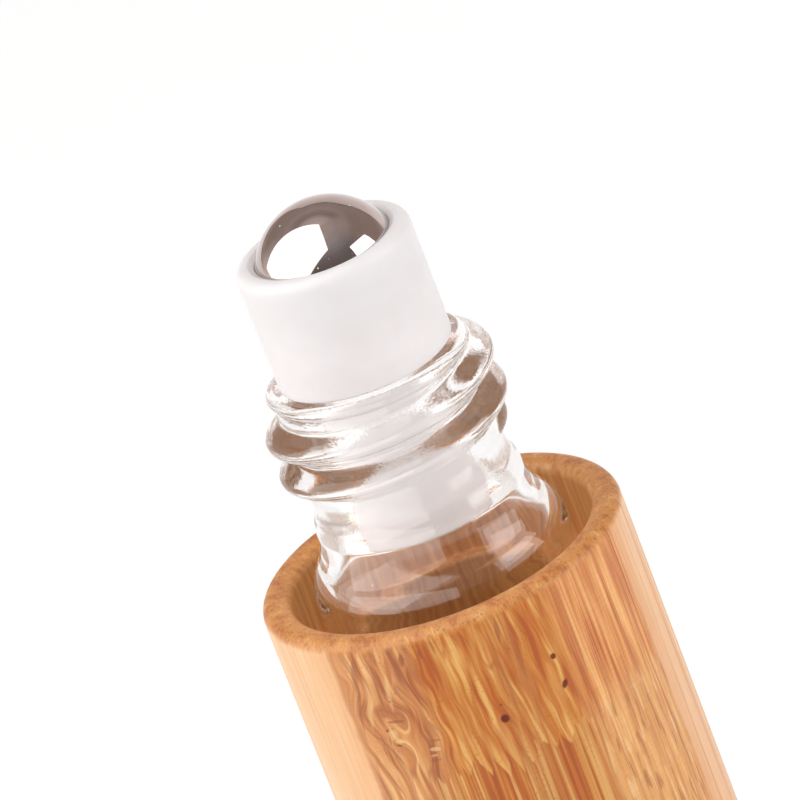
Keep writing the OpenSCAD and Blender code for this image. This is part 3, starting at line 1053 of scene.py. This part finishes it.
class RolledBallTree(GeometryTree):
    """Swells a divided cube into a ball of even faces with no poles."""

    name = "rolled_ball"
    numbers = ("Radius", "Height")
    counts = ("Cuts",)

    def write(self) -> Field:
        """Writes the cube and its swelling.

        Returns:
            The ball, with its centre at the given height.
        """
        plan = self.plan
        cuts = self.value["Cuts"]
        sizes = {"Size": (2.0, 2.0, 2.0), "Vertices X": cuts, "Vertices Y": cuts, "Vertices Z": cuts}
        cube = plan.field("GeometryNodeMeshCube", sizes, out="Mesh")
        x, y, z = plan.split(plan.field("GeometryNodeInputPosition"))
        # Even steps of angle across each face keep the cube's quads alike in size
        even = [plan.math("TANGENT", part * (math.pi / 4)) for part in (x, y, z)]
        unit = plan.vector("NORMALIZE", plan.join(*even))
        ball = plan.scaled(unit, self.value["Radius"])
        lifted = plan.vector("ADD", ball, plan.join(0.0, 0.0, self.value["Height"]))
        return plan.field("GeometryNodeSetPosition", {"Geometry": cube, "Position": lifted})


class PressedPadTree(GeometryTree):
    """Makes the edge of a turned pad ragged, as glue is when it is pressed flat."""

    name = "pressed_pad"
    numbers = ("Waver", "Lobe", "Seed")

    def write(self) -> Field:
        """Writes the waver of the pad's edge.

        Returns:
            The ragged pad.
        """
        plan = self.plan
        x, y, _ = plan.split(plan.field("GeometryNodeInputPosition"))
        lobe = self.value["Lobe"]
        inputs = {"Vector": plan.join(x / lobe, y / lobe, self.value["Seed"]), "Scale": 1.0, "Detail": 2.0}
        noise = plan.field("ShaderNodeTexNoise", inputs)
        radius = plan.math("SQRT", x * x + y * y) + 0.0000001
        reach = plan.math("MINIMUM", radius / (lobe * 2.0), 1.0)
        pull = plan.field("ShaderNodeClamp", {"Value": noise}) * self.value["Waver"] * reach / radius * -1.0
        offset = plan.join(x * pull, y * pull, 0.0)
        return plan.field("GeometryNodeSetPosition", {"Geometry": self.value["Geometry"], "Offset": offset})


class Piece:
    """What every sub-assembly shares: it makes its object, hangs it on its body and reports it."""

    sides: int

    def outline(self) -> Outline:
        """Lists the outline that the piece is turned from, from the middle or round to its start."""
        raise NotImplementedError

    def start(self, name: str, outline: Outline) -> Object:
        """Makes an object that holds an outline as vertices.

        Args:
            name: Name of the piece.
            outline: Points as distance from the axis and height, in millimetres.

        Returns:
            The object, linked to the scene.
        """
        mesh = bpy.data.meshes.new(name)
        mesh.from_pydata([(r * MM, 0.0, z * MM) for r, z in outline], [], [])
        piece = bpy.data.objects.new(name, mesh)
        bpy.context.scene.collection.objects.link(piece)
        return piece

    def turn(self, name: str, turned: "TurnedBodyTree", finish: Material) -> Object:
        """Turns the piece's outline round the axis, and gives the body its name and finish."""
        return turned.apply(self.start(name, self.outline()), finish, sides=self.sides)

    def hang(self, piece: Object, body: Body, slot: Slot, node: str) -> Object:
        """Puts a finished piece on its body in place of a node of the frame.

        Args:
            piece: The finished piece.
            body: Body that it rides on.
            slot: Material slot of the record; not used.
            node: Node that it stands for.

        Returns:
            The same piece.
        """
        piece.data.name = piece.name
        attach(piece, body.value)
        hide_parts(node)
        log.info("%s: %d faces on %s", piece.name, len(piece.data.polygons), body.value)
        return piece


@dataclass
class BambooSleeve(Piece):
    """The turned sleeve, with a bore for the vial and a wider mouth for a cap."""

    radius: float = 14.0
    bore: float = 10.15
    mouth: float = 11.7
    floor: float = 4.5
    mouth_low: float = 54.0
    rim: float = 60.0
    foot_round: float = 0.6
    outer_round: float = 0.9
    inner_round: float = 0.9
    step_bevel: float = 0.3
    step_round: float = 0.15
    floor_round: float = 0.4
    edge_hold: float = 0.5
    sides: int = 288

    def outline(self) -> Outline:
        """Lists the outline from the middle of the foot, round the rim, to the middle of the floor.

        Returns:
            The outline.
        """
        inner_low = self.rim - self.inner_round
        step = self.step_round
        return [
            (0.0, 0.0),
            *run((2.0, 0.0), (self.radius - self.foot_round - 1.0, 0.0), 4),
            *arc((self.radius - self.foot_round, self.foot_round), self.foot_round, -90, 0, 10),
            *run((self.radius, 2.0), (self.radius, self.rim - self.outer_round - self.edge_hold), 24),
            *arc((self.radius - self.outer_round, self.rim - self.outer_round), self.outer_round, 0, 90, 14),
            *arc((self.mouth + self.inner_round, inner_low), self.inner_round, 90, 180, 14),
            *run((self.mouth, inner_low - self.edge_hold), (self.mouth, self.mouth_low + 0.4), 6),
            *arc((self.mouth - step, self.mouth_low + step), step, 0, -90, 5),
            (self.bore + self.step_bevel + 0.1, self.mouth_low),
            (self.bore + self.step_bevel, self.mouth_low),
            (self.bore, self.mouth_low - self.step_bevel),
            *run((self.bore, self.mouth_low - self.step_bevel - 0.3), (self.bore, self.floor + 1.0), 20),
            *arc((self.bore - self.floor_round, self.floor + self.floor_round), self.floor_round, 0, -90, 6),
            *run((self.bore - 1.2, self.floor), (2.0, self.floor), 4),
            (0.0, self.floor),
        ]

    def build(self, turned: TurnedBodyTree) -> Object:
        """Builds the sleeve with the tree that turns outlines."""
        piece = self.turn("sleeve", turned, BambooFinish(self.rim, self.radius, self.mouth).build())
        return self.hang(piece, Body.BOTTLE, Slot.BAMBOO, "bamboo_sleeve")


@dataclass
class GlassVial(Piece):
    """The vial, with its flared shoulder, screw neck and lip."""

    radius: float = 9.85
    wall: float = 1.5
    base: float = 5.1
    base_thickness: float = 2.5
    heel: float = 2.0
    punt: float = 0.6
    shoulder: float = 59.1
    shoulder_bend: float = 3.6
    flare_bend: float = 4.6
    foot_radius: float = 8.04
    neck_radius: float = 7.5
    neck_height: float = 11.75
    bore: float = 4.8
    bore_round: float = 0.4
    even_end: float = 8.0
    step_bend: float = 2.0
    bore_bend: float = 4.0
    lip_radius: float = 7.65
    lip_height: float = 0.8
    lip_round: float = 0.7
    lip_edge: float = 0.3
    step_slope: float = 3.5
    thread_pitch: float = 3.0
    thread_height: float = 1.57
    thread_width: float = 2.5
    thread_turns: float = 2.6
    thread_fade: float = 0.17
    thread_tail: float = 0.55
    thread_low_drop: float = 8.3
    thread_start: float = 343.0
    thread_fillet: float = 0.16
    sides: int = 288

    def flare(self) -> float:
        """Gives the height at which the flare meets the foot of the neck."""
        turn = s_turn(self.radius - self.foot_radius, self.shoulder_bend, self.flare_bend)
        return self.shoulder + (self.shoulder_bend + self.flare_bend) * math.sin(math.radians(turn))

    def top(self) -> float:
        """Gives the height of the lip's top."""
        return self.flare() + self.neck_height

    def outside(self) -> Outline:
        """Lists the outline from the middle of the base up to the top of the lip."""
        hollow = self.radius - self.heel
        dome = (hollow ** 2 + self.punt ** 2) / (2 * self.punt)
        turn = s_turn(self.radius - self.foot_radius, self.shoulder_bend, self.flare_bend)
        flare = self.flare()
        proud = self.foot_radius - self.neck_radius
        bend = proud * self.step_slope
        foot_turn = s_turn(proud, bend, bend)
        step = flare + proud / 4
        foot_top = step + 2 * bend * math.sin(math.radians(foot_turn))
        top = self.top()
        neck_end = top - self.lip_height - 0.12
        edge = math.degrees(math.asin(hollow / dome))
        return [
            *arc((0.0, self.base + self.punt - dome), dome, 90, 90 - edge, 10),
            *arc((hollow, self.base + self.heel), self.heel, -90, 0, 12)[1:],
            *run((self.radius, self.base + self.heel + 1.0), (self.radius, self.shoulder - 1.0), 14),
            *arc((self.radius - self.shoulder_bend, self.shoulder), self.shoulder_bend, 0, turn, 18),
            *arc((self.foot_radius + self.flare_bend, flare), self.flare_bend, 180 + turn, 180, 20)[1:],
            *arc((self.foot_radius - bend, step), bend, 0, foot_turn, 9),
            *arc((self.neck_radius + bend, foot_top), bend, 180 + foot_turn, 180, 9)[1:],
            *run((self.neck_radius, foot_top), (self.neck_radius, neck_end), 96)[1:],
            *arc((self.lip_radius - self.lip_edge, top - self.lip_height + 0.1), self.lip_edge, -55, 0, 4),
            *arc((self.lip_radius - self.lip_round, top - self.lip_round), self.lip_round, 0, 90, 12),
        ]

    def inside(self) -> Outline:
        """Lists the outline from the lip down to the middle of the vial's floor."""
        inner = self.radius - self.wall
        bend = self.shoulder_bend
        top = self.top()
        turn = s_turn(self.radius - self.foot_radius, self.shoulder_bend, self.flare_bend)
        # The hollow runs at an even wall under the outside, and then steps in to the bore
        even = arc((self.foot_radius + self.flare_bend, self.flare()), self.flare_bend + self.wall,
                   180 + self.even_end, 180 + turn, 18)
        lean = math.radians(self.even_end)
        step = (even[0][0] - self.step_bend * math.cos(lean), even[0][1] - self.step_bend * math.sin(lean))
        width = even[0][0] - self.bore
        both = self.step_bend + self.bore_bend
        steep = math.degrees(math.acos((self.step_bend * math.cos(lean) + self.bore_bend - width) / both))
        bore_low = step[1] + both * math.sin(math.radians(steep))
        floor = self.base + self.base_thickness
        return [
            *arc((self.bore + self.bore_round, top - self.bore_round), self.bore_round, 90, 180, 8),
            *run((self.bore, top - self.bore_round - 0.4), (self.bore, bore_low + 0.3), 10),
            *arc((self.bore + self.bore_bend, bore_low), self.bore_bend, 180, 180 + steep, 16),
            *arc(step, self.step_bend, steep, self.even_end, 12)[1:],
            *even[1:],
            *arc((self.radius - bend, self.shoulder), bend - self.wall, turn, 0, 14)[1:],
            *run((inner, self.shoulder - 1.0), (inner, floor + self.heel + 1.0), 10),
            *arc((inner - self.heel, floor + self.heel), self.heel, 0, -90, 10),
            *run((inner - self.heel - 1.0, floor), (1.0, floor), 4),
            (0.0, floor),
        ]

    def outline(self) -> Outline:
        """Lists the whole outline, up the outside and down the inside."""
        return self.outside() + self.inside()

    def build(self, turned: TurnedBodyTree, thread: ScrewThreadTree) -> Object:
        """Builds the vial.

        Args:
            turned: Tree that turns outlines.
            thread: Tree that raises the thread.

        Returns:
            The vial.
        """
        finish = GlassFinish(self.flare()).build()
        piece = self.turn("vial", turned, finish)
        low = self.top() - self.thread_low_drop
        thread.apply(
            piece,
            finish,
            core_radius=(self.bore + self.neck_radius) / 2 * MM,
            height=self.thread_height * MM,
            width=self.thread_width * MM,
            pitch=self.thread_pitch * MM,
            turns=self.thread_turns,
            fade_turns=self.thread_fade,
            tail_turns=self.thread_tail,
            low_end=low * MM,
            start_turn=self.thread_start / 360,
            fillet=self.thread_fillet,
        )
        return self.hang(piece, Body.BOTTLE, Slot.GLASS, "glass_vial")


@dataclass
class RollerHousing(Piece):
    """The white fitment: a collar with the ball's socket, and a plug with two sealing beads."""

    seat: float
    ball: float = 5.6
    gap: float = 0.05
    grip: float = 0.4
    mouth_height: float = 0.2
    bevel: float = 0.38
    wall: float = 1.05
    top_round: float = 0.8
    low_round: float = 0.25
    lip_round: float = 0.06
    throat_round: float = 0.1
    neck_round: float = 0.2
    rim_round: float = 0.12
    floor: float = 1.7
    feed: float = 2.5
    plug: float = 4.65
    plug_wall: float = 0.95
    plug_low: float = 63.0149
    plug_round: float = 0.5
    bead: float = 4.75
    bead_height: float = 0.8
    bead_shares: tuple[float, ...] = (0.42, 0.64)
    sides: int = 256

    def socket(self) -> float:
        """Gives the radius of the ball's socket."""
        return self.ball + self.gap

    def centre(self) -> float:
        """Gives the height of the ball's centre."""
        return self.seat + self.floor + self.socket()

    def throat_rise(self) -> float:
        """Gives how far the throat lies above the ball's centre."""
        return math.sqrt(self.socket() ** 2 - (self.ball - self.grip) ** 2)

    def top(self) -> float:
        """Gives the height of the collar's top."""
        return self.centre() + self.throat_rise() + self.mouth_height

    def beads(self) -> Outline:
        """Lists the plug's outside with its beads, from its lower rounding up to the collar."""
        length = self.seat - self.plug_low
        points = []
        for share in self.bead_shares:
            middle = self.plug_low + length * share
            for i in range(17):
                up = (i / 8 - 1) * self.bead_height / 2
                rise = (self.bead - self.plug) * math.cos(math.pi * (i / 16 - 0.5)) ** 1.2
                points.append((self.plug + rise, middle + up))
        return points

    def outline(self) -> Outline:
        """Lists the closed outline from the plug's lower inner edge, up its outside and down its inside."""
        hollow = self.plug - self.plug_wall
        collar = self.socket() + self.wall
        top = self.top()
        throat = self.ball - self.grip
        mouth = throat + self.bevel
        rise = math.degrees(math.asin(self.throat_rise() / self.socket()))
        fall = math.degrees(math.acos(self.feed / self.socket()))
        lip, bend = self.lip_round, self.throat_round
        points = [
            (hollow + self.rim_round, self.plug_low),
            *arc((self.plug - self.plug_round, self.plug_low + self.plug_round), self.plug_round, -90, 0, 10),
            *self.beads(),
            (self.plug, self.seat - 0.35),
            *arc((self.plug + self.neck_round, self.seat - self.neck_round), self.neck_round, 180, 90, 6),
            *run((self.plug + 0.5, self.seat), (collar - self.low_round - 0.3, self.seat), 3),
            *arc((collar - self.low_round, self.seat + self.low_round), self.low_round, -90, 0, 8),
            *run((collar, self.seat + self.low_round + 0.4), (collar, top - self.top_round - 0.4), 10),
            *arc((collar - self.top_round, top - self.top_round), self.top_round, 0, 90, 16),
            *arc((mouth + lip, top - lip), lip, 90, 150, 6),
            *arc((throat + bend, self.centre() + self.throat_rise() - bend), bend, 120, 170, 4),
            *arc((0.0, self.centre()), self.socket(), rise - 2.0, -fall, 40),
            *run((self.feed, self.seat + self.floor), (self.feed, self.seat + 0.1), 3),
            *run((self.feed + 0.1, self.seat - 0.1), (hollow, self.seat - (hollow - self.feed)), 3),
            *run((hollow, self.seat - 2.0), (hollow, self.plug_low + 0.4), 10),
            (hollow, self.plug_low + self.rim_round),
        ]
        return points + points[:1]

    def build(self, turned: TurnedBodyTree) -> Object:
        """Builds the housing with the tree that turns outlines."""
        piece = self.turn("housing", turned, PolyethyleneFinish(self.seat).build())
        return self.hang(piece, Body.FITMENT, Slot.POLYETHYLENE, "roller_housing")


@dataclass
class RollerBall(Piece):
    """The polished ball, loose in its socket."""

    centre: float
    radius: float = 5.6
    cuts: int = 72

    def build(self, rolled: RolledBallTree) -> Object:
        """Builds the ball.

        Args:
            rolled: Tree that swells a cube into a ball.

        Returns:
            The ball.
        """
        finish = SteelFinish().build()
        piece = self.start("ball", [(0.0, self.centre)])
        rolled.apply(piece, finish, radius=self.radius * MM, height=self.centre * MM, cuts=self.cuts)
        return self.hang(piece, Body.BALL, Slot.STEEL, "roller_ball")


@dataclass
class GluePad(Piece):
    """The pad of glue between the vial and the floor of the sleeve, pressed out to a ragged edge."""

    radius: float = 8.75
    low: float = 4.5
    high: float = 5.1
    waver: float = 1.1
    lobe: float = 2.4
    sides: int = 160

    def outline(self) -> Outline:
        """Lists the outline of the pad, with a bulging edge."""
        half = (self.high - self.low) / 2
        return [
            (0.0, self.low),
            *run((1.0, self.low), (self.radius - half - 0.4, self.low), 8),
            *arc((self.radius - half, self.low + half), half, -90, 90, 12),
            *run((self.radius - half - 0.4, self.high), (1.0, self.high), 8),
            (0.0, self.high),
        ]

    def build(self, turned: TurnedBodyTree, pressed: PressedPadTree) -> Object:
        """Builds the pad.

        Args:
            turned: Tree that turns outlines.
            pressed: Tree that makes its edge ragged.

        Returns:
            The pad.
        """
        finish = GlueFinish().build()
        piece = self.turn("glue", turned, finish)
        pressed.apply(piece, finish, waver=self.waver * MM, lobe=self.lobe * MM, seed=3.0)
        return self.hang(piece, Body.BOTTLE, Slot.GLUE, "glue_pad")


@dataclass(frozen=True)
class SoftBox:
    """A rectangular soft lamp.

    Attributes:
        name: Name of the lamp.
        corner: One corner, in metres from the lamps' aim.
        first: Edge that leaves that corner.
        second: The other edge that leaves it.
        glow: Brightness of its face, where 1 is as bright as the white floor.
        colour: Colour of its light.
        mirrored_only: Whether it's only seen as a reflection and lights nothing else.
        glass_only: Whether only the glass reflects it.
    """

    name: str
    corner: tuple[float, float, float]
    first: tuple[float, float, float]
    second: tuple[float, float, float]
    glow: float
    colour: Colour = (1.0, 1.0, 1.0)
    mirrored_only: bool = False
    glass_only: bool = False

    def build(self, aim: Vector, reach: float) -> Object:
        """Hangs the lamp.

        Args:
            aim: Point that the corner and edges are measured from.
            reach: What they are multiplied by.

        Returns:
            The lamp.
        """
        first = Vector(self.first) * reach
        second = Vector(self.second) * reach
        middle = aim + Vector(self.corner) * reach + (first + second) / 2
        across = first.normalized()
        back = across.cross(second).normalized()
        if back.dot(middle - aim) < 0:
            back = -back
        up = back.cross(across)
        lamp = bpy.data.lights.new(self.name, "AREA")
        lamp.shape = "RECTANGLE"
        lamp.size = first.length
        lamp.size_y = abs(second.dot(up))
        lamp.energy = self.glow * math.pi * lamp.size * lamp.size_y
        lamp.color = self.colour
        holder = bpy.data.objects.new(self.name, lamp)
        holder.matrix_world = Matrix.Translation(middle) @ Matrix((across, up, back)).transposed().to_4x4()
        holder.visible_camera = False
        holder.visible_diffuse = not self.mirrored_only
        holder.visible_transmission = not self.mirrored_only
        bpy.context.scene.collection.objects.link(holder)
        return holder


@dataclass
class Studio:
    """White floor, soft lamps and a plain room around the bottle.

    Attributes:
        aim: Height that the lamps point at.
        reach: Distance of the lamps in metres.
        floor: Radius of the floor in metres.
        lamps: The lamps.
    """

    aim: float = 83.3
    reach: float = 0.55
    floor: float = 3.0
    lamps: tuple[SoftBox, ...] = (
        SoftBox("main_softbox", (0.197, 0.248, 1.957), (-1.349, 0.418, -1.685), (0.018, -1.467, -0.378), 1.4,
                (1.0, 0.985, 0.97)),
        SoftBox("main_shine", (0.196, 0.247, 1.947), (-1.342, 0.416, -1.677), (0.018, -1.46, -0.376), 0.4,
                (1.0, 0.985, 0.97), mirrored_only=True),
        SoftBox("side_softbox", (1.516, -0.061, 0.827), (-0.617, -0.715, 0.055), (-0.175, 0.094, -0.91), 2.6,
                (1.0, 0.99, 0.98)),
        SoftBox("front_card", (0.011, -0.318, 0.1), (-0.324, 0.373, 0.0), (0.0, 0.0, -0.247), 2.5,
                (1.0, 0.985, 0.98), mirrored_only=True, glass_only=True),
        SoftBox("side_card", (0.084, -0.071, -0.011), (0.027, 0.067, 0.0), (0.0, 0.0, 0.07), 2.8,
                (1.0, 0.985, 0.975), mirrored_only=True, glass_only=True),
    )

    def build(self, glass: Object) -> None:
        """Builds the floor, the lamps and the world.

        Args:
            glass: The only piece that mirrors the two cards.
        """
        self.build_floor()
        self.build_world()
        mirrors = bpy.data.collections.new("mirrors_cards")
        mirrors.objects.link(glass)
        for lamp in self.lamps:
            holder = lamp.build(Vector((0.0, 0.0, self.aim * MM)), self.reach)
            if lamp.glass_only:
                holder.light_linking.receiver_collection = mirrors
            log.info("%s: hung", lamp.name)

    def build_floor(self) -> None:
        """Lays the white floor."""
        mesh = bpy.data.meshes.new("floor")
        ring = [(x, y, 0.0) for x, y in arc((0.0, 0.0), self.floor, 0, 360, 64)[:-1]]
        mesh.from_pydata(ring, [], [tuple(range(len(ring)))])
        floor = bpy.data.objects.new("floor", mesh)
        bpy.context.scene.collection.objects.link(floor)
        finish = Finish("white_paper")
        plan = finish.plan
        seen = plan.ray("Is Camera Ray")
        for kind in ("Is Glossy Ray", "Is Transmission Ray"):
            seen = plan.math("MAXIMUM", seen, plan.ray(kind))
        tooth = plan.noise(plan.scaled(finish.at, 0.5), 2.0)
        paper = plan.field(
            "ShaderNodeBsdfDiffuse", {"Color": paint(246, 245, 244), "Normal": finish.bump(tooth, 0.05)}
        )
        glow = plan.field("ShaderNodeEmission", {"Color": WHITE, "Strength": 1.0})
        faint = plan.field("ShaderNodeEmission", {"Color": WHITE, "Strength": seen * 0.25})
        lifted = plan.field("ShaderNodeAddShader", {0: paper, 1: faint})
        mesh.materials.append(finish.close(plan.layer(seen * 0.8, lifted, glow)))

    def build_world(self) -> None:
        """Writes the room: white past the floor, and dim above a pale backdrop in reflections."""
        world = bpy.data.worlds.new("studio_room")
        world.use_nodes = True
        world.node_tree.nodes.clear()
        bpy.context.scene.world = world
        plan = Plan(world.node_tree)
        x, y, z = plan.split(plan.field("ShaderNodeTexCoord", out="Generated"))
        rise = plan.math("ARCSINE", z) * math.degrees(1)
        bearing = plan.math("ARCTAN2", -x, y) * math.degrees(1)
        level = plan.math("SQRT", plan.math("MAXIMUM", 1.0 - z * z, 0.0001))
        # The paper behind the bottle ends in a seam that is highest straight behind it and falls to the right
        wander = plan.noise((bearing / 9.0, 0.0, 3.0), 3.0, 0.6)
        fall = plan.ease(bearing, -26.0, -66.0, 33.0, 1.0)
        seam = plan.math("MINIMUM", fall, plan.ease(bearing, 1.0, 16.0, 35.0, 6.0)) + (wander - 0.5) * 4.0
        paper = plan.ease(rise - seam, -0.8, 0.8, 1.0, 0.0)
        knot = plan.band(bearing, -37.0, 3.0) * plan.band(rise - seam, 0.5, 2.6)
        edge = plan.band(rise - seam, 0.0, plan.ease(wander, 0.3, 0.7, 0.7, 2.2))
        edge = plan.math("MAXIMUM", edge, knot)
        # The room darkens upwards behind the bottle, and it is darkest at its right and around the camera
        height = (rise + 10.0) / 100.0
        lit = plan.ladder(
            height, (0.1, (254, 238, 233)), (0.25, (237, 218, 213)), (0.35, (221, 204, 201)),
            (0.45, (198, 182, 177))
        )
        dim = plan.ladder(
            height, (0.12, (190, 170, 165)), (0.28, (160, 140, 133)), (0.5, (164, 146, 139)),
            (0.58, (172, 154, 148)), (0.68, (157, 139, 135)), (0.72, (156, 138, 134)),
            (0.735, (172, 153, 148)), (0.8, (196, 178, 172)), (0.9, (206, 190, 184))
        )
        aside = plan.ladder(
            height, (0.1, (184, 164, 160)), (0.25, (158, 138, 131)), (0.52, (158, 138, 131)),
            (0.65, (176, 157, 151)), (0.7, (182, 161, 156)), (0.85, (188, 170, 164))
        )
        left = plan.ladder(
            height, (0.1, (254, 240, 234)), (0.22, (240, 222, 214)), (0.34, (206, 190, 184)),
            (0.5, (168, 150, 143)), (0.8, (190, 172, 166))
        )
        ahead = plan.ladder(
            height, (0.4, (120, 110, 106)), (0.5, (132, 121, 122)), (0.56, (145, 137, 138)),
            (0.63, (156, 147, 148)), (0.7, (172, 158, 156)), (0.85, (182, 167, 162))
        )
        seen = plan.mix(paper, dim, lit)
        seen = plan.mix(edge * 0.9, seen, paint(66, 54, 48))
        seen = plan.mix(plan.ease(x / level, 0.7, 0.98), seen, aside)
        seen = plan.mix(plan.ease(x / level, -0.6, -0.95), seen, left)
        seen = plan.mix(plan.ease(y / level, -0.1, -0.6), seen, ahead)
        bent = plan.mix(paper, paint(214, 196, 184), (1.0, 0.98, 0.965, 1.0))
        colour = plan.mix(plan.ray("Is Glossy Ray"), (0.42, 0.415, 0.41, 1.0), seen)
        colour = plan.mix(plan.ray("Is Transmission Ray"), colour, bent)
        colour = plan.mix(plan.ray("Is Camera Ray"), colour, WHITE)
        light = plan.field("ShaderNodeBackground", {"Color": colour, "Strength": 1.0})
        plan.node("ShaderNodeOutputWorld", {"Surface": light})


@dataclass
class PhotoCamera:
    """The camera of the photograph, found from the sleeve's rim.

    Attributes:
        target: Height of the point that the pixel shows.
        pixel: Where the picture shows that point.
        distance: Distance of the point along the view, in metres.
        elevation: How far the camera looks down, in radians.
        roll: How far it is rolled, in radians.
        focal: Focal length in pixels.
        picture: Width and height of the picture in pixels.
    """

    target: float = 60.0
    pixel: Point = (438.39, 545.62)
    distance: float = 0.58263
    elevation: float = 0.3959
    roll: float = -0.370
    focal: float = 7911.0
    picture: float = 800.0

    def build(self) -> None:
        """Places the camera and makes it the scene's own."""
        right = Vector((1.0, 0.0, 0.0))
        up = Vector((0.0, math.sin(self.elevation), math.cos(self.elevation)))
        back = Vector((0.0, -math.cos(self.elevation), math.sin(self.elevation)))
        cos, sin = math.cos(self.roll), math.sin(self.roll)
        aside = (self.pixel[0] - self.picture / 2) / self.focal
        down = (self.pixel[1] - self.picture / 2) / self.focal
        place = (
            Vector((0.0, 0.0, self.target * MM))
            + self.distance * (back - (cos * aside + sin * down) * right - (sin * aside - cos * down) * up)
        )
        lens = bpy.data.cameras.new("photo_camera")
        lens.sensor_width = 36.0
        lens.lens = self.focal * lens.sensor_width / self.picture
        lens.clip_start = 0.01
        lens.clip_end = 20.0
        camera = bpy.data.objects.new("photo_camera", lens)
        turned_right = cos * right + sin * up
        turned_up = -sin * right + cos * up
        basis = Matrix((turned_right, turned_up, back)).transposed().to_4x4()
        camera.matrix_world = Matrix.Translation(place) @ basis
        bpy.context.scene.collection.objects.link(camera)
        bpy.context.scene.camera = camera


def main() -> None:
    """Builds the bottle's pieces, the studio and the camera."""
    logging.basicConfig(level=logging.INFO, format="%(name)s: %(message)s")
    bpy.context.scene.view_settings.view_transform = "Standard"
    bpy.context.scene.cycles.glossy_bounces = 12
    turned = TurnedBodyTree()
    thread = ScrewThreadTree()
    sleeve = BambooSleeve()
    sleeve.build(turned)
    vial = GlassVial()
    glass = vial.build(turned, thread)
    housing = RollerHousing(seat=vial.top() + 0.05)
    housing.build(turned)
    RollerBall(centre=housing.centre()).build(RolledBallTree())
    GluePad().build(turned, PressedPadTree())
    Studio().build(glass)
    PhotoCamera().build()


if __name__ == "__main__":
    main()
